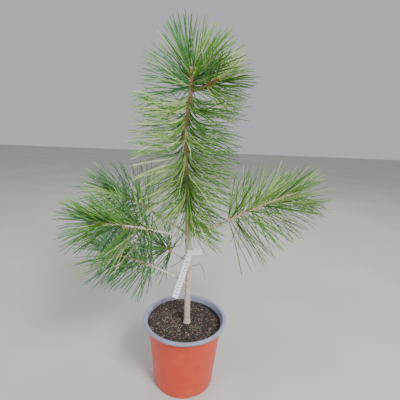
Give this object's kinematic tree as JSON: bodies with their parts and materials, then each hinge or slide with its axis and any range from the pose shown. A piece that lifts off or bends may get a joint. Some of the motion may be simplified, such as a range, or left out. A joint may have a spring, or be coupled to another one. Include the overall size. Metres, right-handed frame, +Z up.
{
  "type": "potted ponderosa pine",
  "caption": "Young pine with long needles in bundles on a slim trunk and side boughs, growing in a round tapered nursery pot, with a strap label looped round the trunk.",
  "frame": {"origin": "centre of the pot's flat underside, on the surface that it stands on", "axes": "+Z up along the pot's axis, -Y towards the side that the picture shows, +X to the right in that view"},
  "size_m": [0.618, 0.3535, 0.7958],
  "materials": {
    "pot_plastic": "satin terracotta orange outside, grey lavender rim and inside",
    "potting_soil": "loose dark potting mix with fibres and white grains",
    "bark": "thin scaly bark, grey below and olive brown above",
    "bough_bark": "rough twig bark with needle scars",
    "dead_wood": "dry grey brown",
    "label_plastic": "thin white strap",
    "needles": "glossy green needles, yellow green at their roots"
  },
  "bodies": {
    "root": {"pot": "pot_plastic", "soil": "potting_soil", "trunk": "bark", "bough_right": "bough_bark", "bough_left_front": "bough_bark", "bough_left_back": "bough_bark", "bough_left_low": "bough_bark", "bough_short": "bough_bark", "bough_top_right": "bough_bark", "dead_twig_right": "dead_wood", "dead_twig_left": "dead_wood", "plant_label": "label_plastic", "needles_trunk_1": "needles", "needles_trunk_2": "needles", "needles_trunk_3": "needles", "needles_trunk_4": "needles", "needles_leader": "needles", "needles_right": "needles", "needles_left_front": "needles", "needles_left_back": "needles", "needles_left_low": "needles", "needles_short": "needles", "needles_top_right": "needles"}
  },
  "joints": []
}
